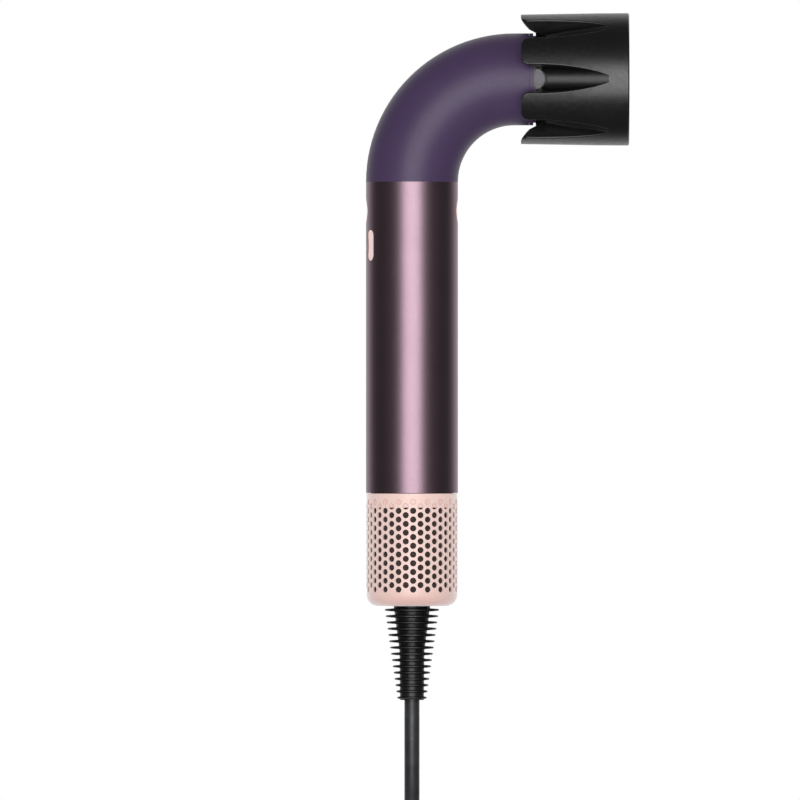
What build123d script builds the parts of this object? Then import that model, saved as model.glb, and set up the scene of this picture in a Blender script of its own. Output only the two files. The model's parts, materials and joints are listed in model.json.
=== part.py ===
from build123d import *
import os
from math import pi, radians, sin, tan

# Handheld hair dryer with a petalled air diffuser on its outlet. The straight grip is a round tube on the
# Z axis, the neck turns it through a right angle towards +X, and the diffuser is turned about the outlet's
# axis, which is parallel to X. Air goes in through the perforated cage below the grip. Units: millimetres.
# The origin is on the grip's axis, halfway up the grip tube.

# Grip and neck
TUBE_R = 20.0
TUBE_WALL = 1.2
TUBE_HALF = 67.6
BEND_R = 44.6
HEAD_Z = TUBE_HALF + BEND_R
SKIN_WALL = 1.0
SKIN_END_X = 50.9
END_RING_X = 52.7

# Outlet collar that the diffuser slides on
COLLAR_R = 18.9
COLLAR_WALL = 1.5
COLLAR_BACK_X = 46.2
COLLAR_FRONT_X = 68.0

# Diffuser
VALLEY_ANGLES = (-127.7, -52.3, 0, 52.3, 127.7, 180)
CROWN_R = 28.8
PETAL_TIP_R = 28.15
PETAL_TIP_X = 47.4
SLEEVE_BACK_X = 53.8
SLEEVE_FRONT_X = 72.0
SLEEVE_R = 20.1
SLEEVE_BORE_R = 19.05
CROWN_FRONT_X = 94.35
VALLEY_END_X = 86.3
VALLEY_LIP_X = 54.6
VALLEY_LIP_R = 21.7
VALLEY_RIB_R = 6.2
VALLEY_TOP_HALF = 6.5
VALLEY_BASE_HALF = 4.7
CROWN_WALL = 1.2
PETAL_EDGE_R = 0.5
PETAL_EDGE_END_X = 88.0
PETAL_LIP_R = 25.3
NOTCH_LENGTH = 3.9
NOTCH_WIDTH = 8.6
NOTCH_FLARE = 1.3

# Controls
BUTTON_Z = 55.0
BUTTON_R = 4.9
BEZEL_R = 5.3
DISH_DEPTH = 0.7
FACE_R = TUBE_R + 0.3
MARK_R = 0.9
MARK_BASE_X = TUBE_R - DISH_DEPTH - 0.4
ROCKER_Z = 40.0
ROCKER_ANGLE = 24.7
ROCKER_WIDTH = 5.4
ROCKER_HEIGHT = 13.4
ROCKER_PIVOT_R = 16.5

# Filter cage
CAGE_R = 19.75
CAGE_WALL = 0.8
CAGE_TOP = -67.85
CAGE_BOTTOM = -116.7
CAGE_MOUTH_R = 12.6
CAGE_CORNER = 5.0
HOLE_R = 1.36
HOLE_COLUMNS = 38
FIRST_COLUMN_ANGLE = -88.5
HOLE_PITCH = 3.795
FIRST_HOLE_Z = -71.5
BAND_BOTTOM = -73.9

# Cable guard and cord
GUARD_TOP = -116.55
GUARD_RIBS = 15
RIB_PITCH = 2.726
FIRST_RIB_Z = -118.45
GUARD_END = -157.6
CORD_R = 3.3

# The stored cord lies in a round coil on the surface below, behind the cord's way down
FLOOR_Z = -274.0
COIL_BOTTOM = FLOOR_Z + 1.2
COIL_MEAN_R = 37.3
COIL_WIDTH_TURNS = 3
COIL_LAYERS = 4
OUTER_TURN_R = COIL_MEAN_R + 2 * CORD_R
COIL_X = OUTER_TURN_R
COIL_Y = 62.0
TOP_TURN_Z = COIL_BOTTOM + CORD_R * (2 * COIL_LAYERS - 1)

# Plug
PLUG_Y = -4.5
PLUG_Z = FLOOR_Z + 12.7
PLUG_LENGTH = 25.4
PLUG_WIDTH = 35.0
RELIEF_LENGTH = 14.4
PIN_R = 2.4
PIN_SPACING = 19.0
PIN_LENGTH = 19.0
PIN_ROOT_R = 1.8
PIN_ROOT_LENGTH = 7.9
CORD_AT_PLUG_X = 30.0
PLUG_BACK_X = CORD_AT_PLUG_X - RELIEF_LENGTH - 0.05

BEND_AXIS = Axis((BEND_R, 0, TUBE_HALF), (0, 1, 0))
OUTLET_AXIS = Axis((0, 0, HEAD_Z), (1, 0, 0))


def turned_z(*points):
    """A solid of revolution about the grip's axis from an outline of (radius, height) points."""
    outline = Polyline(*[(r, 0, z) for r, z in points], close=True)
    return revolve(make_face(outline), Axis.Z)


def turned_x(*points):
    """A solid of revolution about the outlet's axis from an outline of (x, radius) points."""
    outline = Polyline(*[(x, 0, HEAD_Z + r) for x, r in points], close=True)
    return revolve(make_face(outline), OUTLET_AXIS)


def ring_z(outer, inner, low, high):
    return turned_z((inner, low), (outer, low), (outer, high), (inner, high))


def ring_x(outer, inner, back, front):
    return turned_x((back, inner), (back, outer), (front, outer), (front, inner))


def rod(start, end, radius):
    """A round bar between two points."""
    path = Line(start, end)
    return sweep(Plane(origin=start, z_dir=Vector(*end) - Vector(*start)) * Circle(radius), path)


def block(x, y, z):
    """A box from its lowest and highest value on each axis."""
    middle = [(a + b) / 2 for a, b in (x, y, z)]
    return Pos(*middle) * Box(x[1] - x[0], y[1] - y[0], z[1] - z[0])


def around_z(shape, angle):
    return Rot(0, 0, angle) * shape


def around_outlet(shape, angle):
    return shape.rotate(OUTLET_AXIS, angle)


def bent_tube(outer, inner, end_x):
    """A round duct that follows the neck: a quarter turn, then straight to end_x."""
    section = Pos(0, 0, TUBE_HALF) * (Circle(outer) - Circle(inner))
    bend = revolve(section, BEND_AXIS, 90)
    straight = ring_x(outer, inner, BEND_R, end_x)
    return bend + straight


def along_cord(points, radius):
    """A round cord of straight runs joined by tangent arcs, each as large as its two runs allow."""
    corners = [Vector(*p) for p in points]
    radii = []
    for before, corner, after in zip(corners, corners[1:], corners[2:]):
        turn = radians((corner - before).get_angle(after - corner))
        shorter = min((corner - before).length, (after - corner).length)
        radii.append(0.45 * shorter / tan(turn / 2))
    path = FilletPolyline(*points, radius=radii)
    start = Plane(origin=points[0], z_dir=corners[1] - corners[0])
    tube = sweep(start * Circle(radius), path)
    print("cord", round(path.length, 1), "mm; volume over section", round(tube.volume / (pi * radius**2), 1), "mm")
    return tube


# ---- grip, neck and outlet ----


def pill_hole(width, height):
    """A radial cutter with round ends, on the +X side of the grip, at the rockers' height."""
    slot = Plane.YZ * SlotOverall(height, width, rotation=90)
    return Pos(12, 0, ROCKER_Z) * extrude(slot, 10)


def grip_tube():
    tube = ring_z(TUBE_R, TUBE_R - TUBE_WALL, -TUBE_HALF, TUBE_HALF)
    button_hole = Pos(17, 0, BUTTON_Z) * Rot(0, 90, 0) * Cylinder(BEZEL_R + 0.05, 12)
    tube -= button_hole
    tube -= around_z(button_hole, 180)
    for side in (-1, 1):
        tube -= around_z(pill_hole(ROCKER_WIDTH + 0.5, ROCKER_HEIGHT + 0.5), 180 + side * ROCKER_ANGLE)
    return tube


def neck_skin():
    return bent_tube(TUBE_R, TUBE_R - SKIN_WALL, SKIN_END_X)


def neck_end_ring():
    return ring_x(TUBE_R, COLLAR_R + 0.05, SKIN_END_X + 0.1, END_RING_X)


def duct_half(side):
    """One half of the duct inside the neck, split on the dryer's middle plane."""
    duct = bent_tube(TUBE_R - SKIN_WALL - 0.2, 17.3, COLLAR_BACK_X - 0.2)
    near, far = sorted((side * 0.05, side * 40))
    return duct & block((-40, 80), (near, far), (0, 160))


def coupling_ring():
    return ring_z(18.6, 16.8, 61.0, TUBE_HALF - 0.2)


def outlet_collar():
    return ring_x(COLLAR_R, COLLAR_R - COLLAR_WALL, COLLAR_BACK_X, COLLAR_FRONT_X)


def outlet_grille():
    back, front = 63.0, 65.0
    grille = ring_x(17.3, 16.5, back, front)
    for outer in (12.6, 8.4):
        grille += ring_x(outer, outer - 0.7, back, front)
    grille += turned_x((back, 0), (back, 4), (front, 4), (front + 1.5, 0))
    for k in range(6):
        spoke = block((back, front), (-0.4, 0.4), (HEAD_Z + 3.5, HEAD_Z + 16.8))
        grille += around_outlet(spoke, 60 * k)
    return grille


def outlet_magnet():
    return ring_x(17.3, 16.0, 65.3, 67.8)


# ---- heater inside the neck ----


def heater_elements(count=8):
    """Finned heating rings threaded on the spine at even steps round the bend."""
    height, hub_r, rim_r = 2.8, 4.5, 16.6
    ring = Cylinder(rim_r, height) - Cylinder(rim_r - 0.6, height)
    ring += Cylinder(hub_r, height)
    for k in range(12):
        ring += around_z(Pos((hub_r + rim_r - 0.3) / 2, 0, 0) * Box(rim_r - hub_r, 0.5, height), 30 * k)
    ring -= Cylinder(2.6, height)
    first = Pos(0, 0, TUBE_HALF) * ring
    step = 74 / (count - 1)
    return Compound(children=[first.rotate(BEND_AXIS, 8 + step * k) for k in range(count)])


def heater_spine():
    section = Pos(0, 0, TUBE_HALF) * Circle(2.5)
    return revolve(section, BEND_AXIS, 88)


def thermal_cutout():
    """A small disc thermostat clipped to the duct just above the heater."""
    return Pos(56.0, 0, HEAD_Z) * Rot(0, 90, 0) * (Cylinder(5.5, 3.2) + Pos(0, 0, 2.6) * Cylinder(3.2, 2.0))


# ---- diffuser ----


def valley_outline(radius, half_width, end_x):
    """A round-nosed slot at that distance from the outlet's axis, which opens out behind the petals' tips."""
    z = HEAD_Z + radius
    waist_x = PETAL_TIP_X + 3.0
    mouth_x = PETAL_TIP_X - 0.2
    back_x = PETAL_TIP_X - 6
    mouth = 1.55 * half_width
    edges = [Line((back_x, -mouth, z), (back_x, mouth, z))]
    for s in (-1, 1):
        nose = [(end_x, 0), (end_x, 0.26), (end_x - 14, 0.97), (end_x - 32, 1)]
        edges.append(Bezier(*[(x, s * share * half_width, z) for x, share in nose]))
        edges.append(Line((end_x - 32, s * half_width, z), (waist_x, s * half_width, z)))
        corner = (waist_x - 2.2, s * (half_width + 0.3 * (mouth - half_width)), z)
        edges.append(ThreePointArc((waist_x, s * half_width, z), corner, (mouth_x, s * mouth, z)))
        edges.append(Line((mouth_x, s * mouth, z), (back_x, s * mouth, z)))
    return make_face(edges)


def valley_floor(sink):
    """The solid under a valley: the sleeve, then a lip from which a round-topped rib, with a cone beside it,
    climbs to the crown's rim. sink sets it all back, by a wall's thickness."""
    slope = (CROWN_R - VALLEY_LIP_R) / (VALLEY_END_X - VALLEY_LIP_X)
    lip_x = VALLEY_LIP_X + sink
    front_x = lip_x + 40
    rib_z = HEAD_Z + VALLEY_LIP_R - VALLEY_RIB_R
    rib = rod((lip_x, 0, rib_z), (front_x, 0, rib_z + 40 * slope), VALLEY_RIB_R - sink)
    gutter_r = VALLEY_LIP_R - 2.2 - sink
    cone = turned_x((lip_x, 0), (lip_x, gutter_r), (front_x, gutter_r + 40 * slope), (front_x, 0))
    return [rib, cone, ring_x(SLEEVE_R - 0.15 - sink, 10, 30, front_x)]


def valley(grow, sink):
    """The space between two petals: nearly radial walls over the valley's floor. grow widens and lengthens it."""
    end_x = VALLEY_END_X + 1.6 * grow
    top = valley_outline(CROWN_R + 0.7, VALLEY_TOP_HALF + grow, end_x)
    base = valley_outline(SLEEVE_R - 1.4, VALLEY_BASE_HALF + grow, end_x)
    return loft([base, top], ruled=True) - valley_floor(sink)


def each_valley(cutter):
    """The cutter repeated at each valley. One valley faces -Y."""
    return [around_outlet(cutter, 90 + angle) for angle in VALLEY_ANGLES]


def sleeve_notch():
    """The half-round bite at the back of the sleeve, flared lengthways as it goes outwards through the rib."""
    base = Pos(SLEEVE_BACK_X, 0, HEAD_Z + COLLAR_R) * Ellipse(NOTCH_LENGTH, NOTCH_WIDTH / 2)
    top = Pos(SLEEVE_BACK_X, 0, HEAD_Z + 24) * Ellipse(NOTCH_LENGTH + NOTCH_FLARE, NOTCH_WIDTH / 2 + 0.3)
    return loft([base, top], ruled=True)


def petal_edges(crown):
    """The long edges between the petals' outsides and the valleys."""
    edges = []
    for edge in crown.edges():
        points = [edge.position_at(share) for share in (0, 0.5, 1)]
        outside = all(Vector(0, p.Y, p.Z - HEAD_Z).length > PETAL_TIP_R - 0.25 for p in points)
        if outside and max(p.X for p in points) < PETAL_EDGE_END_X and points[0].X != points[1].X:
            edges.append(edge)
    return edges


def diffuser_crown():
    """The outer shell: a petalled skirt whose valleys dip to an inner sleeve, and a plain rim in front. The petals
    thicken inwards at their tips."""
    shell = turned_x(
        (PETAL_TIP_X, PETAL_TIP_R),
        (80.0, CROWN_R - 0.1),
        (CROWN_FRONT_X - 0.5, CROWN_R),
        (CROWN_FRONT_X, CROWN_R - 0.5),
        (CROWN_FRONT_X, CROWN_R - 1.2),
        (CROWN_FRONT_X - 0.4, CROWN_R - 1.6),
        (86.5, CROWN_R - 1.6),
        (84.0, 25.6),
        (SLEEVE_FRONT_X, SLEEVE_R + 0.1),
        (SLEEVE_FRONT_X - 0.1, SLEEVE_BORE_R + 0.4),
        (58.6, SLEEVE_BORE_R + 0.4),
        (51.0, 23.9),
    )
    shell -= each_valley(valley(0, 0))
    passage = turned_x(
        (40, SLEEVE_R - 0.3),
        (40, PETAL_LIP_R),
        (PETAL_TIP_X + 1.5, PETAL_LIP_R),
        (PETAL_TIP_X + 5.0, PETAL_TIP_R - CROWN_WALL),
        (84.0, CROWN_R - CROWN_WALL - 0.3),
        (86.6, CROWN_R - 1.6),
        (100, CROWN_R - 1.6),
        (100, SLEEVE_R - 0.3),
    )
    passage -= each_valley(valley(1.25, CROWN_WALL))
    shell -= passage
    sleeve = turned_x(
        (SLEEVE_BACK_X, SLEEVE_BORE_R),
        (SLEEVE_BACK_X, SLEEVE_R),
        (SLEEVE_FRONT_X, SLEEVE_R),
        (SLEEVE_FRONT_X, 16.8),
        (70.9, 16.8),
        (70.9, SLEEVE_BORE_R),
    )
    crown = shell + sleeve
    crown -= each_valley(sleeve_notch())
    return fillet(petal_edges(crown), PETAL_EDGE_R)


def diffuser_nozzle():
    """The flared inner ring that splits the hot stream from the room air drawn in under the petals."""
    nozzle = turned_x(
        (SLEEVE_FRONT_X + 0.05, 18.6),
        (SLEEVE_FRONT_X + 0.05, 20.0),
        (87.5, 24.7),
        (90.4, 25.0),
        (91.2, 24.6),
        (91.2, 22.9),
        (90.6, 22.5),
        (88.0, 22.6),
    )
    return nozzle


def baffle_dish():
    """The round plate in the middle of the outlet: a shallow cone with a raised rim and a pointed hub."""
    cone_back = (78.0, 0)
    plate = turned_x(
        cone_back,
        (79.0, 4.0),
        (83.0, 12.0),
        (88.5, 19.2),
        (91.6, 19.9),
        (92.4, 19.5),
        (92.4, 18.8),
        (91.7, 18.4),
        (89.6, 13.0),
        (87.9, 7.9),
        (86.9, 7.7),
        (87.0, 7.2),
        (88.6, 3.4),
        (89.8, 0.9),
        (90.0, 0),
    )
    for k in range(4):
        spoke = block((80.0, 85.0), (-0.5, 0.5), (HEAD_Z + 6.5, HEAD_Z + 23))
        spoke &= turned_x((79, 0), (79, 20.2), (86, 21.95), (86, 0))
        plate += around_outlet(spoke, 45 + 90 * k)
    return plate


def diffuser_magnet():
    return ring_x(SLEEVE_BORE_R - 0.1, 16.9, COLLAR_FRONT_X + 0.3, 70.8)


# ---- controls ----


def outer_face(depth):
    """The space under a control's outer face, which is a touch flatter than the grip and that far below it."""
    return Pos(TUBE_R - FACE_R - depth, 0, 0) * Cylinder(FACE_R, 200)


def button_dish():
    """The ball that hollows a button's face."""
    ball_r = BEZEL_R**2 / (2 * DISH_DEPTH)
    return Pos(TUBE_R - DISH_DEPTH + ball_r, 0, BUTTON_Z) * Sphere(ball_r)


def button_cap():
    """A round button on the +X side of the grip, hollowed to suit a fingertip, with a stem for its switch."""
    cap = rod((16.2, 0, BUTTON_Z), (21, 0, BUTTON_Z), BUTTON_R)
    cap &= outer_face(0.02)
    cap -= button_dish()
    cap += rod((16.2, 0, BUTTON_Z), (17.3, 0, BUTTON_Z), 5.6)
    cap += rod((13.3, 0, BUTTON_Z), (16.2, 0, BUTTON_Z), 1.6)
    return cap


def button_bezel():
    bezel = rod((18.0, 0, BUTTON_Z), (21, 0, BUTTON_Z), BEZEL_R)
    bezel -= rod((17.5, 0, BUTTON_Z), (22, 0, BUTTON_Z), BUTTON_R + 0.08)
    bezel &= outer_face(0)
    return bezel - button_dish()


def cool_mark():
    return rod((MARK_BASE_X, 0, BUTTON_Z), (TUBE_R - DISH_DEPTH + 0.01, 0, BUTTON_Z), MARK_R)


def tact_switch(base):
    """A push switch that stands on a board at x = base, on the +X side, under a button's stem."""
    body = block((base, 11.6), (-2.5, 2.5), (BUTTON_Z - 2.5, BUTTON_Z + 2.5))
    return body + rod((11.6, 0, BUTTON_Z), (12.3, 0, BUTTON_Z), 1.3)


def rocker():
    """A pill-shaped rocker in its own frame, with +X outwards. It turns on a pin across its middle."""
    key = extrude(Plane.YZ * Pos(0, ROCKER_Z, 0) * SlotOverall(ROCKER_HEIGHT, ROCKER_WIDTH, rotation=90), 10)
    key = Pos(15.0, 0, 0) * key
    key &= outer_face(0.1)
    saddle_depth = 0.4
    saddle_r = (ROCKER_HEIGHT / 2) ** 2 / (2 * saddle_depth)
    centre = TUBE_R - 0.1 - saddle_depth + saddle_r
    key -= Pos(centre, 0, ROCKER_Z) * Rot(90, 0, 0) * Cylinder(saddle_r, 20)
    return key - rod((ROCKER_PIVOT_R, -4, ROCKER_Z), (ROCKER_PIVOT_R, 4, ROCKER_Z), 0.65)


def rocker_pin():
    return rod((ROCKER_PIVOT_R, -3.9, ROCKER_Z), (ROCKER_PIVOT_R, 3.9, ROCKER_Z), 0.6)


def rocker_bracket():
    bracket = block((11.6, 12.8), (-4.0, 4.0), (ROCKER_Z - 9, ROCKER_Z + 8.5))
    for y in (-3.45, 3.45):
        bracket += block((12.8, 18.0), (y - 0.5, y + 0.5), (ROCKER_Z - 2.2, ROCKER_Z + 2.2))
    return bracket - rod((ROCKER_PIVOT_R, -5, ROCKER_Z), (ROCKER_PIVOT_R, 5, ROCKER_Z), 0.62)


def rocker_switch(z):
    return block((12.85, 14.0), (-1.7, 1.7), (z - 1.5, z + 1.5)) + rod((14.0, 0, z), (14.4, 0, z), 0.8)


def at_rockers(shape):
    """The shape at both rockers, left and right of the grip's back."""
    return [around_z(shape, 180 + side * ROCKER_ANGLE) for side in (-1, 1)]


# ---- electronics ----


def control_board():
    return block((-8.6, -7.0), (-14, 14), (29, 64))


def front_board():
    return block((8.85, 10.45), (-7, 7), (47, 63))


def main_board():
    return block((-0.8, 0.8), (-16, 16), (-16, 24))


def capacitors():
    return Compound(children=[Pos(6.2, y, 4) * Cylinder(4.6, 20) for y in (-6.5, 6.5)])


def power_switches():
    bodies = [block((-4.2, -0.9), (y - 3.6, y + 3.6), (2, 16)) for y in (-9, 0, 9)]
    return Compound(children=bodies)


def heat_sink():
    """A finned plate behind the power switches."""
    plate = block((-6.4, -4.3), (-12.5, 12.5), (0, 20))
    for k in range(6):
        y = -10 + 4 * k
        plate += block((-9.6, -6.4), (y - 0.5, y + 0.5), (0, 20))
    return plate


def power_wires():
    """The live and neutral wires, from the cord's clamp, past the motor, to the main board."""
    wires = []
    for x in (-1.75, 1.75):
        route = [(x, 0, -103.9), (x, 0, -94), (x, 15.0, -80), (x, 15.0, -70), (x, 16.9, -63), (x, 16.9, -20)]
        path = FilletPolyline(*route, radius=4.0)
        wires.append(sweep(Plane(origin=route[0], z_dir=(0, 0, 1)) * Circle(0.8), path))
    return Compound(children=wires)


# ---- motor ----


def motor_frame():
    """The motor's shroud, guide vanes and bearing barrel, in one casting."""
    frame = ring_z(15.4, 14.2, -62.0, -22.0) + ring_z(6.2, 4.6, -46.0, -30.5)
    for k in range(9):
        vane = Pos(10.2, 0, -42) * Rot(20, 0, 0) * Box(9.2, 0.8, 8.4)
        vane &= ring_z(14.6, 5.6, -46.0, -38.0)
        frame += around_z(vane, 40 * k)
    return frame


def motor_bracket():
    """The rear bracket that carries the stator."""
    bracket = ring_z(15.4, 14.0, -21.9, -19.5)
    for k in range(3):
        arm = block((9.7, 14.6), (-1.5, 1.5), (-21.9, -19.5)) + block((9.7, 11.2), (-1.5, 1.5), (-29, -21.9))
        bracket += around_z(arm, 45 + 120 * k)
    return bracket


def motor_mount(low, high):
    """A rubber ring between motor and grip, notched where the wires pass."""
    ring = ring_z(18.7, 15.5, low, high)
    return ring - block((-3.4, 3.4), (15.0, 18.1), (low - 1, high + 1))


def impeller(blades=13):
    hub = turned_z((1.51, -57.0), (3.4, -57.0), (5.8, -54.5), (6.1, -48.0), (1.51, -48.0))
    for k in range(blades):
        blade = Pos(9.8, 0, -51.5) * Rot(38, 0, 0) * Box(9.0, 0.6, 11.0)
        blade &= ring_z(13.9, 5.6, -55.0, -48.2)
        hub += around_z(blade, 360 / blades * k)
    return hub


def motor_shaft():
    return rod((0, 0, -58.0), (0, 0, -22.6), 1.5)


def rotor_magnet():
    return ring_z(4.0, 1.51, -29.4, -23.2)


def shaft_bearings():
    return Compound(children=[ring_z(4.58, 1.53, low, low + 3) for low in (-45.5, -34.0)])


def stator_core():
    core = ring_z(9.6, 8.0, -29.0, -23.6)
    for k in range(4):
        core += around_z(block((4.5, 8.4), (-1.5, 1.5), (-29.0, -23.6)), 90 * k)
    return core


def stator_coils():
    coil = block((5.0, 7.45), (-2.6, 2.6), (-30.2, -22.4)) - block((4, 8), (-1.55, 1.55), (-29.05, -23.55))
    return Compound(children=[around_z(coil, 90 * k) for k in range(4)])


# ---- air intake ----


def cup_outline(r, low, corner):
    """Half of a cup's section from its mouth's height down its side, round the corner and in along its bottom."""
    lean = corner * sin(radians(45))
    side = Line((r, 0, CAGE_TOP), (r, 0, low + corner))
    middle = (r - corner + lean, 0, low + corner - lean)
    return side + ThreePointArc((r, 0, low + corner), middle, (r - corner, 0, low))


def cup(outer, wall, low, corner, mouth):
    """A cup about the grip's axis with a round hole of that radius in its bottom."""
    outside = cup_outline(outer, low, corner)
    inside = cup_outline(outer - wall, low + wall, corner - wall)
    flat_r = outer - corner
    top = Line((outer, 0, CAGE_TOP), (outer - wall, 0, CAGE_TOP))
    bottom = Polyline((flat_r, 0, low), (mouth, 0, low), (mouth, 0, low + wall), (flat_r, 0, low + wall))
    return revolve(make_face(outside + inside + top + bottom), Axis.Z)


def filter_cage():
    """The perforated sleeve. Its holes go right through; a band inside backs the top row."""
    cage = cup(CAGE_R, CAGE_WALL, CAGE_BOTTOM, CAGE_CORNER, CAGE_MOUTH_R)
    drills = []
    for column in range(HOLE_COLUMNS):
        odd = column % 2
        for k in range(10 if odd else 11):
            z = FIRST_HOLE_Z - HOLE_PITCH * (k + 0.5 * odd)
            drill = Pos(CAGE_R - CAGE_WALL / 2, 0, z) * Rot(0, 90, 0) * Cylinder(HOLE_R, 3)
            drills.append(around_z(drill, FIRST_COLUMN_ANGLE + 360 / HOLE_COLUMNS * column))
    return cage - drills


def cage_band():
    return ring_z(CAGE_R - CAGE_WALL - 0.05, 17.95, BAND_BOTTOM, CAGE_TOP - 0.15)


def filter_mesh():
    """The fine gauze that lines the cage behind its holes."""
    gap, wall = 0.15, 0.4
    lining = cup(
        CAGE_R - CAGE_WALL - gap,
        wall,
        CAGE_BOTTOM + CAGE_WALL + gap,
        CAGE_CORNER - CAGE_WALL - gap,
        CAGE_MOUTH_R + 0.2,
    )
    return lining & ring_z(30, 0, -130, BAND_BOTTOM - 0.2)


def intake_frame():
    """The fixed skeleton in the cage: a spigot in the grip, legs, and the disc that holds the cord."""
    frame = turned_z((15.6, -62.6), (18.6, -62.6), (18.6, -67.4), (17.8, -67.4), (17.8, -73.4), (15.2, -73.4))
    frame -= block((-3.4, 3.4), (13.4, 17.9), (-76, -60))
    outer_side = [(15.4, 0, -70.5), (17.4, 0, -73.4), (12.2, 0, -80), (12.2, 0, -114)]
    inner_side = [(9.8, 0, -114), (9.8, 0, -78.5)]
    leg = extrude(make_face(Polyline(*outer_side, *inner_side, close=True)), 1.0, both=True)
    for k in range(4):
        frame += around_z(leg, 45 + 90 * k)
    frame += ring_z(12.2, 3.4, -116.5, -113.0)
    for x in (-6, 6):
        frame -= rod((x, 0, -117), (x, 0, -112), 1.05)
    return frame


def cord_clamp():
    clamp = block((-8.2, 8.2), (-4.6, 4.6), (-112.9, -108.6)) - Cylinder(3.33, 400)
    for x in (-6, 6):
        clamp -= rod((x, 0, -114), (x, 0, -108), 1.05)
    return clamp


def clamp_screws():
    screws = []
    for x in (-6, 6):
        screws.append(rod((x, 0, -116.3), (x, 0, -108.5), 1.0) + rod((x, 0, -108.5), (x, 0, -107.3), 1.9))
    return Compound(children=screws)


def cord_inner_end():
    return rod((0, 0, GUARD_TOP + 0.02), (0, 0, -104.2), CORD_R)


# ---- cord, guard and plug ----


def guard_radius(z):
    """The core's radius: it narrows over the first half, then runs nearly straight."""
    share = min(1.0, (GUARD_TOP - z) / 20.0)
    return 8.0 - 2.4 * share - 0.4 * (GUARD_TOP - z) / (GUARD_TOP - GUARD_END)


def cable_guard():
    """The ribbed rubber guard moulded on the cord."""
    heights = [GUARD_TOP, GUARD_TOP - 6.5, GUARD_TOP - 13, GUARD_TOP - 20, GUARD_END]
    guard = turned_z((0, GUARD_TOP), *[(guard_radius(z), z) for z in heights], (0, GUARD_END))
    for k in range(GUARD_RIBS):
        z = FIRST_RIB_Z - RIB_PITCH * k
        edge = 11.9 - 5.4 * k / (GUARD_RIBS - 1)
        root = guard_radius(z) - 0.5
        guard += turned_z(
            (root, z - 0.75),
            (edge - 0.5, z - 0.42),
            (edge - 0.1, z - 0.22),
            (edge - 0.1, z + 0.22),
            (edge - 0.5, z + 0.42),
            (root, z + 0.75),
        )
    return guard


LEAD_ROUTE = [
    (0.0, 0.0, GUARD_END),
    (0.0, 0.0, -212.0),
    (0.0, 38.5, TOP_TURN_Z),
    (0.0, COIL_Y, TOP_TURN_Z),
]
TAIL_ROUTE = [
    (COIL_X + OUTER_TURN_R, COIL_Y, COIL_BOTTOM + CORD_R),
    (86.2, 28.0, FLOOR_Z + CORD_R),
    (64.0, -1.5, FLOOR_Z + 9.0),
    (CORD_AT_PLUG_X, PLUG_Y, PLUG_Z),
]


def cord_lead():
    return along_cord(LEAD_ROUTE, CORD_R)


def cord_tail():
    return along_cord(TAIL_ROUTE, CORD_R)


def cord_coil():
    """The outer shape of the wound cord: a ring three turns wide and four layers high, with round edges."""
    half = COIL_WIDTH_TURNS * CORD_R
    height = 2 * CORD_R * COIL_LAYERS
    ring = Cylinder(COIL_MEAN_R + half, height) - Cylinder(COIL_MEAN_R - half, height)
    ring = fillet(ring.edges().filter_by(GeomType.CIRCLE), CORD_R * 0.95)
    return Pos(COIL_X, COIL_Y, COIL_BOTTOM + height / 2) * ring


def cord_tie():
    """The strap that holds the coil, on its far side."""
    half_length = 7.0
    inner_r = COIL_MEAN_R - CORD_R * COIL_WIDTH_TURNS
    near = (inner_r**2 - half_length**2) ** 0.5 - 0.1
    far = COIL_MEAN_R + CORD_R * COIL_WIDTH_TURNS + 0.1
    width = far - near
    height = 2 * CORD_R * COIL_LAYERS + 0.2
    thickness = 1.1
    bend = CORD_R * 0.7
    section = Plane.YZ * RectangleRounded(width + 2 * thickness, height + 2 * thickness, bend + thickness)
    section -= Plane.YZ * RectangleRounded(width, height, bend)
    strap = extrude(section, half_length, both=True)
    return Pos(COIL_X, COIL_Y + (near + far) / 2, FLOOR_Z + thickness + height / 2) * strap


def on_plug(shape):
    """Places a shape made on the Z axis along the plug's axis, with z = 0 at the plug's back."""
    return Pos(PLUG_BACK_X, PLUG_Y, PLUG_Z) * Rot(0, -90, 0) * shape


def plug_body():
    neck, shoulder = 9.0, 11.0
    body = loft(
        [
            RectangleRounded(16, 18, 7),
            Pos(0, 0, neck) * RectangleRounded(PLUG_LENGTH, PLUG_WIDTH, shoulder),
        ]
    )
    body += Pos(0, 0, neck) * extrude(RectangleRounded(PLUG_LENGTH, PLUG_WIDTH, shoulder), PLUG_LENGTH - neck)
    for side in (-1, 1):
        body -= Pos(0, side * PIN_SPACING / 2, PLUG_LENGTH) * Cylinder(PIN_ROOT_R + 0.03, 16)
    return on_plug(body)


def plug_pins():
    """Two round pins, each with a thinner root that the plug's body holds."""
    upright = (Align.CENTER, Align.CENTER, Align.MIN)
    pin = Pos(0, 0, -PIN_ROOT_LENGTH) * Cylinder(PIN_ROOT_R, PIN_ROOT_LENGTH, align=upright)
    pin += Cylinder(PIN_R, PIN_LENGTH - PIN_R, align=upright)
    pin += Pos(0, 0, PIN_LENGTH - PIN_R) * Sphere(PIN_R)
    return Compound(children=[on_plug(Pos(0, s * PIN_SPACING / 2, PLUG_LENGTH) * pin) for s in (-1, 1)])


def plug_relief():
    relief = Cone(4.6, 6.6, RELIEF_LENGTH, align=(Align.CENTER, Align.CENTER, Align.MAX))
    for k in range(4):
        relief += Pos(0, 0, -2.6 - 3.2 * k) * Cylinder(7.4 - 0.45 * k, 1.4)
    return on_plug(Pos(0, 0, -0.05) * relief)


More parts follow.
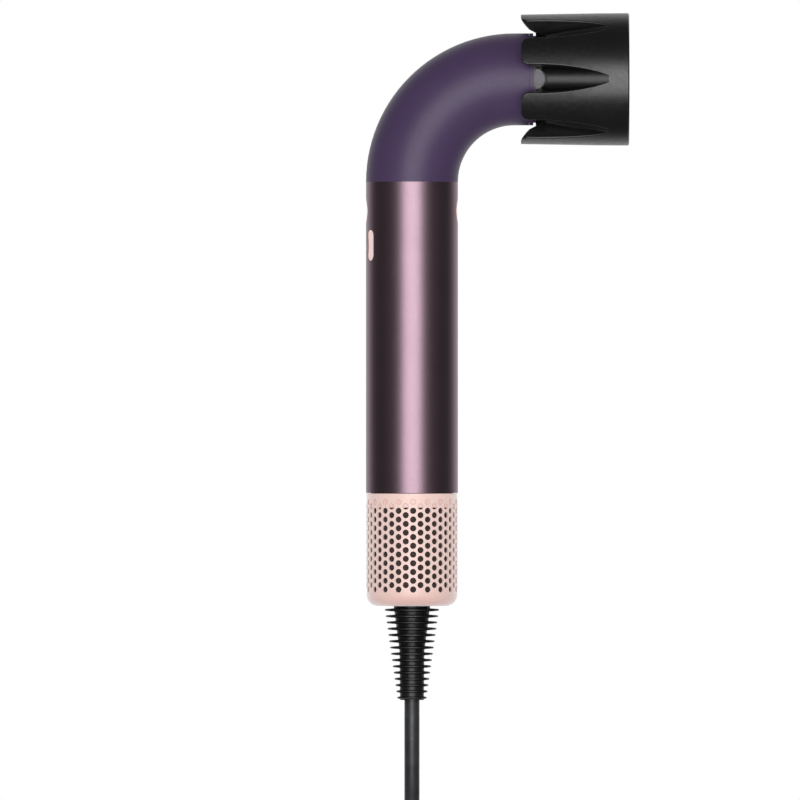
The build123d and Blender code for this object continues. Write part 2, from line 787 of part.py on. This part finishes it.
PARTS = {
    "grip_tube": grip_tube,
    "neck_skin": neck_skin,
    "neck_end_ring": neck_end_ring,
    "neck_duct_left": lambda: duct_half(1),
    "neck_duct_right": lambda: duct_half(-1),
    "coupling_ring": coupling_ring,
    "outlet_collar": outlet_collar,
    "outlet_grille": outlet_grille,
    "outlet_magnet": outlet_magnet,
    "heater_elements": heater_elements,
    "heater_spine": heater_spine,
    "thermal_cutout": thermal_cutout,
    "diffuser_crown": diffuser_crown,
    "diffuser_nozzle": diffuser_nozzle,
    "baffle_dish": baffle_dish,
    "diffuser_magnet": diffuser_magnet,
    "cool_shot_button": lambda: button_cap() - rod((MARK_BASE_X - 0.05, 0, BUTTON_Z), (21, 0, BUTTON_Z), MARK_R + 0.02),
    "cool_shot_bezel": button_bezel,
    "cool_shot_mark": cool_mark,
    "power_button": lambda: around_z(button_cap(), 180),
    "power_bezel": lambda: around_z(button_bezel(), 180),
    "airflow_rocker": lambda: around_z(rocker(), 180 - ROCKER_ANGLE),
    "heat_rocker": lambda: around_z(rocker(), 180 + ROCKER_ANGLE),
    "rocker_pins": lambda: Compound(children=at_rockers(rocker_pin())),
    "rocker_brackets": lambda: Compound(children=at_rockers(rocker_bracket())),
    "rocker_switches": lambda: Compound(
        children=[s for dz in (-4.5, 4.5) for s in at_rockers(rocker_switch(ROCKER_Z + dz))]
    ),
    "cool_shot_switch": lambda: tact_switch(10.5),
    "power_switch": lambda: around_z(tact_switch(8.65), 180),
    "control_board": control_board,
    "front_board": front_board,
    "main_board": main_board,
    "capacitors": capacitors,
    "power_transistors": power_switches,
    "heat_sink": heat_sink,
    "power_wires": power_wires,
    "motor_frame": motor_frame,
    "motor_bracket": motor_bracket,
    "lower_motor_mount": lambda: motor_mount(-60.0, -55.0),
    "upper_motor_mount": lambda: motor_mount(-29.0, -24.0),
    "impeller": impeller,
    "motor_shaft": motor_shaft,
    "rotor_magnet": rotor_magnet,
    "shaft_bearings": shaft_bearings,
    "stator_core": stator_core,
    "stator_coils": stator_coils,
    "filter_cage": filter_cage,
    "cage_band": cage_band,
    "filter_mesh": filter_mesh,
    "intake_frame": intake_frame,
    "cord_clamp": cord_clamp,
    "clamp_screws": clamp_screws,
    "cord_inner_end": cord_inner_end,
    "cable_guard": cable_guard,
    "cord_lead": cord_lead,
    "cord_coil": cord_coil,
    "cord_tail": cord_tail,
    "cord_tie": cord_tie,
    "plug_relief": plug_relief,
    "plug_body": plug_body,
    "plug_pins": plug_pins,
}

os.makedirs("parts", exist_ok=True)
for name, make in PARTS.items():
    export_step(make(), f"parts/{name}.step")
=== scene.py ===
import json
from math import cos, pi, radians, sin

import bpy
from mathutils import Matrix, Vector


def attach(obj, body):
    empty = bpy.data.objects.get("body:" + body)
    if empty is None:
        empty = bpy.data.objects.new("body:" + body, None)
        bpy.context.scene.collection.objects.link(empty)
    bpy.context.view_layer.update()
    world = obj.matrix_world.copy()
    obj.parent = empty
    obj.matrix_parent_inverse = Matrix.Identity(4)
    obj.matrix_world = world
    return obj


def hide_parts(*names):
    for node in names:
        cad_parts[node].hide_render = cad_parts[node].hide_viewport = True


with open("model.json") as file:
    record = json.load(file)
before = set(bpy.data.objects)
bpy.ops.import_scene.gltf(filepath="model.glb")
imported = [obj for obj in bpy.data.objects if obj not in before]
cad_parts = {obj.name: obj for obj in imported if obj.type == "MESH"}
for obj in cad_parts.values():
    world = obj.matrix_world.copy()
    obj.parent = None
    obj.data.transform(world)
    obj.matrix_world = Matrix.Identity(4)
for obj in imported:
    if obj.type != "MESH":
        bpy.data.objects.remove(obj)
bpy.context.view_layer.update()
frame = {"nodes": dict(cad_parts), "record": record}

# Looks for the handheld hair dryer with its air diffuser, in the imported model's frame and in metres. Only
# the cord's sizes and route and the floor's height are in millimetres, as in the part's source.

MM = 0.001


# ---- camera ----

# The view is square on to the dryer's right side. It shows VIEW_WIDTH of the plane through the grip's axis,
# from so far off that it is nearly parallel.
VIEW_WIDTH = 0.3478
VIEW_X = -0.0052
VIEW_Z = -0.0272
LENS = 1200
SENSOR = 36


def make_camera():
    data = bpy.data.cameras.new("camera")
    data.lens = LENS
    data.sensor_width = SENSOR
    distance = LENS / SENSOR * VIEW_WIDTH
    data.clip_start = 0.1
    data.clip_end = 50
    camera = bpy.data.objects.new("camera", data)
    camera.location = (VIEW_X, -distance, VIEW_Z)
    camera.rotation_euler = (pi / 2, 0, 0)
    bpy.context.collection.objects.link(camera)
    bpy.context.scene.camera = camera


# ---- materials ----


def linear(red, green, blue):
    """A colour given in display values from 11 to 255, as the linear colour that a shader takes."""
    shares = [value / 255 for value in (red, green, blue)]
    return tuple(((share + 0.055) / 1.055) ** 2.4 for share in shares) + (1,)


# Places of a Mix node's colour sockets, which have the same names as its number sockets
MIX_COLOUR_A = 6
MIX_COLOUR_B = 7
MIX_COLOUR_OUT = 2


class Look:
    """A procedural material around one Principled shader."""

    def __init__(self, name, colour, roughness, metallic=0.0, specular=0.5):
        self.material = bpy.data.materials.new(name)
        self.material.use_nodes = True
        self.tree = self.material.node_tree
        self.shader = self.tree.nodes["Principled BSDF"]
        self.set("Base Color", colour)
        self.set("Roughness", roughness)
        self.set("Metallic", metallic)
        self.set("Specular IOR Level", specular)
        self.place = self.node("ShaderNodeTexCoord").outputs["Object"]
        self.normal = None

    def set(self, socket, value):
        self.shader.inputs[socket].default_value = value

    def node(self, kind, links=None, **settings):
        """A node with its inputs filled in: a socket is linked, and any other value is set."""
        made = self.tree.nodes.new(kind)
        for key, value in settings.items():
            setattr(made, key, value)
        for key, value in (links or {}).items():
            if isinstance(value, bpy.types.NodeSocket):
                self.tree.links.new(value, made.inputs[key])
            else:
                made.inputs[key].default_value = value
        return made

    def stretched(self, scale):
        """Object coordinates multiplied by three factors."""
        return self.node("ShaderNodeVectorMath", {0: self.place, 1: scale}, operation="MULTIPLY").outputs[0]

    def noise(self, scale, detail, stretch=None):
        """Cloudy noise with scale features in a metre, drawn out along the axes whose stretch is small."""
        place = self.stretched(stretch) if stretch else self.place
        links = {"Vector": place, "Scale": scale, "Detail": detail}
        return self.node("ShaderNodeTexNoise", links).outputs["Fac"]

    def grain(self, size):
        """Small round cells, as on a moulded or blasted surface, about that many metres across."""
        links = {"Vector": self.place, "Scale": 1 / size}
        return self.node("ShaderNodeTexVoronoi", links).outputs["Distance"]

    def math(self, operation, one, other=0.0):
        """What a Math node makes of one or two values."""
        return self.node("ShaderNodeMath", {0: one, 1: other}, operation=operation).outputs[0]

    def span(self, source, low, high, start=0.3, end=0.7):
        """The source's range from start to end, made to run from low to high."""
        links = {"Value": source, "From Min": start, "From Max": end, "To Min": low, "To Max": high}
        return self.node("ShaderNodeMapRange", links).outputs["Result"]

    def vary_roughness(self, source, low, high):
        self.tree.links.new(self.span(source, low, high), self.shader.inputs["Roughness"])

    def vary_colour(self, source, one, other, start=0.3, end=0.7):
        links = {"Factor": self.span(source, 0.0, 1.0, start, end), MIX_COLOUR_A: one, MIX_COLOUR_B: other}
        mix = self.node("ShaderNodeMix", links, data_type="RGBA")
        self.tree.links.new(mix.outputs[MIX_COLOUR_OUT], self.shader.inputs["Base Color"])

    def bump(self, source, distance, strength=1.0):
        """Raises the surface by up to that many metres. Each call adds to the ones before it."""
        links = {"Height": source, "Distance": distance, "Strength": strength}
        if self.normal:
            links["Normal"] = self.normal
        self.normal = self.node("ShaderNodeBump", links).outputs["Normal"]
        self.tree.links.new(self.normal, self.shader.inputs["Normal"])


def tinted(colour, factor):
    """The colour made lighter or darker by that factor."""
    return tuple(min(1.0, c * factor) for c in colour[:3]) + (1,)


def plum_anodised():
    """Fine-blasted aluminium with a plum anodised skin."""
    plum = (0.275, 0.187, 0.228, 1)
    look = Look("plum_anodised", plum, 0.38, metallic=1.0)
    look.vary_colour(look.noise(60, 3), tinted(plum, 0.97), tinted(plum, 1.03))
    look.vary_roughness(look.noise(900, 2), 0.36, 0.40)
    look.bump(look.noise(4000, 2), 0.000003)
    return look


def soft_touch():
    """The neck's purple rubbery coating."""
    purple = (0.050, 0.028, 0.078, 1)
    look = Look("purple_soft_touch", purple, 0.45, specular=0.4)
    look.vary_colour(look.noise(45, 4), tinted(purple, 0.94), tinted(purple, 1.06))
    look.vary_roughness(look.noise(700, 3), 0.42, 0.48)
    look.bump(look.noise(4200, 2), 0.000012)
    look.set("Sheen Weight", 0.05)
    look.set("Sheen Roughness", 0.4)
    return look


def black_plastic():
    """Spark-eroded black nylon, as on the diffuser."""
    black = (0.0036, 0.0036, 0.0039, 1)
    look = Look("black_plastic", black, 0.36, specular=0.74)
    look.vary_colour(look.noise(80, 3), tinted(black, 0.8), tinted(black, 1.25))
    look.vary_roughness(look.noise(600, 3), 0.32, 0.41)
    look.bump(look.grain(0.0004), 0.000010)
    return look


def grey_nozzle():
    grey = (0.030, 0.030, 0.031, 1)
    look = Look("grey_nozzle", grey, 0.34, specular=0.8)
    look.vary_colour(look.noise(90, 3), tinted(grey, 0.9), tinted(grey, 1.1))
    look.vary_roughness(look.noise(500, 2), 0.30, 0.38)
    look.bump(look.grain(0.0005), 0.000008)
    return look


def grey_collar():
    grey = linear(84, 80, 90)
    look = Look("grey_collar", grey, 0.4)
    look.vary_colour(look.noise(120, 2), tinted(grey, 0.92), tinted(grey, 1.08))
    look.vary_roughness(look.noise(800, 2), 0.36, 0.46)
    look.bump(look.noise(3000, 2), 0.000008)
    return look


def pink_enamel():
    """The cage's satin pink coat. Its colour is painted paler, as a painted highlight, on the narrow metal
    between the holes, down to about z = -110 mm."""
    highlight_end_z = -0.110
    fade = 0.003
    pink = linear(210, 170, 162)
    # pale is the colour of the painted highlight on the perforated band
    pale = linear(221, 190, 182)
    look = Look("pink_enamel", pink, 0.38, specular=0.5)
    look.set("Sheen Weight", 1.0)
    look.set("Sheen Roughness", 0.5)
    height = look.node("ShaderNodeSeparateXYZ", {0: look.place}).outputs["Z"]
    # Mask of the painted highlight: height, with a little noise to make its edge ragged
    highlight_mask = look.math("ADD", height, look.math("MULTIPLY", look.noise(70, 3), 0.004))
    look.vary_colour(highlight_mask, pink, pale, highlight_end_z - fade, highlight_end_z + fade)
    look.vary_roughness(look.noise(900, 2), 0.33, 0.44)
    look.bump(look.noise(1800, 3), 0.000006)
    return look


def cream_gloss():
    cream = linear(252, 218, 214)
    look = Look("cream_gloss", cream, 0.2)
    look.vary_colour(look.noise(200, 2), tinted(cream, 0.98), tinted(cream, 1.02))
    look.vary_roughness(look.noise(700, 2), 0.16, 0.26)
    look.bump(look.noise(2500, 2), 0.000002)
    look.set("Coat Weight", 0.3)
    look.set("Coat Roughness", 0.1)
    return look


def copper_trim():
    """Spun copper: fine rings round each button."""
    copper = (0.78, 0.36, 0.22, 1)
    look = Look("copper_trim", copper, 0.22, metallic=1.0)
    look.vary_roughness(look.noise(3000, 2, stretch=(0.1, 1, 1)), 0.16, 0.30)
    look.bump(look.noise(5000, 2), 0.000002)
    return look


def blue_mark():
    blue = linear(52, 110, 205)
    look = Look("blue_mark", blue, 0.25)
    look.vary_colour(look.noise(900, 1), tinted(blue, 0.9), tinted(blue, 1.1))
    look.bump(look.noise(3000, 1), 0.000002)
    return look


def dark_gauze():
    """Woven steel gauze: round wires both ways, with painted shade in the gaps between them. Their pitch is
    the same both ways at weave_r, which is a little inside the cup."""
    pitch = 0.0004
    weave_r = 0.0174
    look = Look("dark_gauze", linear(66, 60, 64), 0.4, metallic=0.6)
    place = look.node("ShaderNodeSeparateXYZ", {0: look.place}).outputs
    around = look.math("MULTIPLY", look.math("ARCTAN2", place["Y"], place["X"]), 2 * pi / pitch * weave_r)
    up = look.math("MULTIPLY", place["Z"], 2 * pi / pitch)
    weave = look.math("MAXIMUM", look.math("SINE", around), look.math("SINE", up))
    # The dark end is painted shade in the gaps between the wires
    look.vary_colour(weave, linear(18, 14, 13), linear(92, 80, 76), 0.2, 0.9)
    look.bump(weave, 0.00008)
    return look


def rubber(name, shade, low, high, specular):
    """Moulded rubber with a faint bloom, and a roughness from low to high."""
    colour = linear(shade, shade + 1, shade + 4)
    look = Look(name, colour, (low + high) / 2, specular=specular)
    look.vary_colour(look.noise(150, 4), tinted(colour, 0.8), tinted(colour, 1.35))
    look.vary_roughness(look.noise(500, 3), low, high)
    look.bump(look.noise(2600, 3), 0.000015)
    return look


def bare_metal(name, colour, roughness, stretch=(1, 1, 0.05)):
    """Turned or brushed metal, its marks drawn out along one axis."""
    look = Look(name, colour, roughness, metallic=1.0)
    marks = look.noise(2500, 3, stretch=stretch)
    look.vary_colour(marks, tinted(colour, 0.88), tinted(colour, 1.06))
    look.vary_roughness(marks, roughness - 0.07, roughness + 0.08)
    look.bump(marks, 0.000004)
    return look


def moulding(name, colour, roughness):
    """Plain moulded plastic with a fine grain."""
    look = Look(name, colour, roughness)
    look.vary_colour(look.noise(120, 3), tinted(colour, 0.93), tinted(colour, 1.05))
    look.vary_roughness(look.noise(600, 2), roughness - 0.05, roughness + 0.07)
    look.bump(look.noise(2200, 2), 0.000010)
    return look


def circuit_board():
    """Green solder mask over copper tracks that just show."""
    look = Look("circuit_board", linear(20, 88, 46), 0.3)
    cells = look.node("ShaderNodeTexVoronoi", {"Vector": look.place, "Scale": 420}, distance="MANHATTAN")
    look.vary_colour(cells.outputs["Distance"], linear(14, 70, 38), linear(34, 120, 66), 0.25, 0.4)
    look.vary_roughness(look.noise(800, 2), 0.26, 0.38)
    look.bump(cells.outputs["Distance"], 0.00002)
    return look


def copper_winding():
    """Enamelled wire, wound close, with painted shade in the grooves between the turns."""
    copper = (0.70, 0.27, 0.12, 1)
    look = Look("copper_winding", copper, 0.28, metallic=0.9)
    wave = look.node("ShaderNodeTexWave", {"Vector": look.place, "Scale": 900}, bands_direction="DIAGONAL")
    # The bands run from painted shade in the grooves between the turns to a little lighter on the turns
    look.vary_colour(wave.outputs["Fac"], tinted(copper, 0.4), tinted(copper, 1.15), 0.1, 0.9)
    look.bump(wave.outputs["Fac"], 0.00008)
    return look


LOOKS = {
    "plum_anodised": plum_anodised,
    "purple_soft_touch": soft_touch,
    "grey_collar": grey_collar,
    "black_plastic": black_plastic,
    "grey_nozzle": grey_nozzle,
    "pink_enamel": pink_enamel,
    "cream_gloss": cream_gloss,
    "copper_trim": copper_trim,
    "blue_mark": blue_mark,
    "dark_gauze": dark_gauze,
    "black_rubber": lambda: rubber("black_rubber", 21, 0.34, 0.46, 0.55),
    "cord_sheath": lambda: rubber("cord_sheath", 38, 0.38, 0.48, 0.8),
    "nickel_pins": lambda: bare_metal("nickel_pins", (0.74, 0.71, 0.64, 1), 0.2, (0.05, 1, 1)),
    "circuit_board": circuit_board,
    "copper_winding": copper_winding,
    "steel": lambda: bare_metal("steel", (0.56, 0.56, 0.57, 1), 0.32),
    "pale_nylon": lambda: moulding("pale_nylon", linear(214, 210, 202), 0.48),
    "mica_and_wire": lambda: moulding("mica_and_wire", linear(196, 176, 132), 0.4),
    "magnet_nickel": lambda: bare_metal("magnet_nickel", (0.62, 0.62, 0.64, 1), 0.18, (1, 1, 1)),
    "light_alloy": lambda: bare_metal("light_alloy", (0.70, 0.70, 0.72, 1), 0.36),
    "wire_sheath": lambda: moulding("wire_sheath", linear(120, 66, 40), 0.3),
}


def dress_nodes():
    """Gives every CAD node the look of its slot in the record, and returns the looks by slot."""
    made = {slot: make().material for slot, make in LOOKS.items()}
    for part in frame["record"]["subparts"]:
        mesh = frame["nodes"][part["node"]].data
        mesh.materials.clear()
        mesh.materials.append(made[part["material_slot"]])
    return made


# ---- cord ----

CORD_R = 3.3
GUARD_END = -157.6
FLOOR_Z = -274.0
COIL_BOTTOM = FLOOR_Z + 1.2
COIL_MEAN_R = 37.3
COLUMNS = 3
LAYERS = 4
OUTER_TURN_R = COIL_MEAN_R + 2 * CORD_R
COIL_X = OUTER_TURN_R
COIL_Y = 62.0
TOP_TURN_Z = COIL_BOTTOM + CORD_R * (2 * LAYERS - 1)

LEAD_ROUTE = [
    (0.0, 0.0, GUARD_END),
    (0.0, 0.0, -212.0),
    (0.0, 38.5, TOP_TURN_Z),
    (0.0, COIL_Y, TOP_TURN_Z),
]
TAIL_ROUTE = [
    (COIL_X + OUTER_TURN_R, COIL_Y, COIL_BOTTOM + CORD_R),
    (86.2, 28.0, FLOOR_Z + CORD_R),
    (64.0, -1.5, FLOOR_Z + 9.0),
    (30.0, -4.5, FLOOR_Z + 12.7),
]


def wound_turns():
    """The coil's turns from the top down, as [radius, height, degrees turned]. One layer is wound inwards
    and the next outwards. The turns beside a change of layer are short, so that changes never meet. The
    coil's first and last turns go on a little, to meet the lead and the tail."""
    short_turn = 280
    end_extra = 50
    turns = []
    for layer in range(LAYERS):
        outward = layer % 2
        for k in range(COLUMNS):
            column = k if outward else COLUMNS - 1 - k
            radius = COIL_MEAN_R + 2 * CORD_R * (column - (COLUMNS - 1) / 2)
            turned = 360 if 0 < k < COLUMNS - 1 else short_turn
            turns.append([radius, TOP_TURN_Z - 2 * CORD_R * layer, turned])
    for end in (turns[0], turns[-1]):
        end[2] += end_extra
    return turns


def coil_route(step=20, change=60):
    """Control points of the wound cord, a point every step degrees. In its last change degrees each turn
    crosses over to the next one. The points stand a little outside, because the curve cuts their corners."""
    points = []
    start = 0
    turns = wound_turns()
    for here, after in zip(turns, turns[1:] + turns[-1:]):
        radius, height, turned = here
        for angle in range(start - start % step + step, start + turned + 1, step):
            share = max(0.0, (angle - start - turned + change) / change)
            eased = share * share * (3 - 2 * share)
            r = (radius + (after[0] - radius) * eased) / cos(radians(step / 2))
            z = height + (after[1] - height) * eased
            a = radians(180 - angle)
            points.append((COIL_X + r * cos(a), COIL_Y + r * sin(a), z))
        start += turned
    return points[:-1]


def make_cord(material):
    """The mains cord: one smooth line from the guard, down, round the coil and into the plug."""
    route = LEAD_ROUTE + coil_route() + TAIL_ROUTE
    data = bpy.data.curves.new("mains_cord", "CURVE")
    data.dimensions = "3D"
    data.resolution_u = 6
    data.bevel_depth = CORD_R * MM
    data.bevel_resolution = 5
    spline = data.splines.new("NURBS")
    spline.points.add(len(route) - 1)
    for point, place in zip(spline.points, route):
        point.co = (*[v * MM for v in place], 1)
    spline.order_u = 3
    spline.use_endpoint_u = True
    data.materials.append(material)
    cord = bpy.data.objects.new("mains_cord", data)
    bpy.context.collection.objects.link(cord)
    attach(cord, "handle")
    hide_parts("cord_lead", "cord_coil", "cord_tail")


# ---- floor and light ----


def make_floor():
    """A plain pale round table top, just under the stored cord. It glows a little, so that it stays pale."""
    top = (0, 0, FLOOR_Z * MM)
    bpy.ops.mesh.primitive_circle_add(vertices=96, radius=0.85, fill_type="NGON", location=top)
    floor = bpy.context.object
    floor.name = "floor"
    look = Look("floor", (0.86, 0.86, 0.86, 1), 0.7)
    look.vary_colour(look.noise(8, 2), (0.85, 0.85, 0.85, 1), (0.87, 0.87, 0.87, 1))
    look.set("Emission Color", (1, 1, 1, 1))
    look.set("Emission Strength", 0.22)
    floor.data.materials.append(look.material)
    floor.visible_glossy = False


def make_softbox():
    """A rectangular soft light between the camera and the dryer. It faces the dryer, and the camera doesn't
    see it."""
    place = Vector((0.0, -1.5, 0.05))
    target = Vector((0.02, 0.0, 0.02))
    size = (1.2, 1.4)
    radiance = 3.8
    data = bpy.data.lights.new("key", "AREA")
    data.shape = "RECTANGLE"
    data.size, data.size_y = size
    data.energy = radiance * pi * size[0] * size[1]
    light = bpy.data.objects.new("key", data)
    light.location = place
    light.rotation_euler = (target - place).to_track_quat("-Z", "Y").to_euler()
    light.visible_camera = False
    bpy.context.collection.objects.link(light)


def make_world():
    """A white wall behind the dryer, dark sides, an even fill on matt surfaces, and white wherever the
    camera looks past the table."""
    side_level = 0.07
    wall_level = 1.0
    wall_start = 0.3
    wall_full = 0.95
    fill_level = 0.55
    backdrop_level = 1.0
    world = bpy.data.worlds.new("studio")
    bpy.context.scene.world = world
    world.use_nodes = True
    world.cycles.sampling_method = "NONE"
    tree = world.node_tree
    background = tree.nodes["Background"]
    background.inputs["Color"].default_value = (1, 1, 1, 1)
    place = tree.nodes.new("ShaderNodeTexCoord")
    split = tree.nodes.new("ShaderNodeSeparateXYZ")
    tree.links.new(place.outputs["Generated"], split.inputs[0])
    wall = tree.nodes.new("ShaderNodeMapRange")
    wall.interpolation_type = "SMOOTHSTEP"
    limits = {"From Min": wall_start, "From Max": wall_full, "To Min": side_level, "To Max": wall_level}
    for key, value in limits.items():
        wall.inputs[key].default_value = value
    tree.links.new(split.outputs["Y"], wall.inputs["Value"])
    path = tree.nodes.new("ShaderNodeLightPath")
    strength = wall.outputs["Result"]
    for ray, level in (("Is Diffuse Ray", fill_level), ("Is Camera Ray", backdrop_level)):
        mix = tree.nodes.new("ShaderNodeMix")
        tree.links.new(path.outputs[ray], mix.inputs["Factor"])
        tree.links.new(strength, mix.inputs["A"])
        mix.inputs["B"].default_value = level
        strength = mix.outputs["Result"]
    tree.links.new(strength, background.inputs["Strength"])


def main():
    bpy.context.scene.view_settings.view_transform = "Standard"
    make_camera()
    looks = dress_nodes()
    make_cord(looks["cord_sheath"])
    make_floor()
    make_world()
    make_softbox()


main()
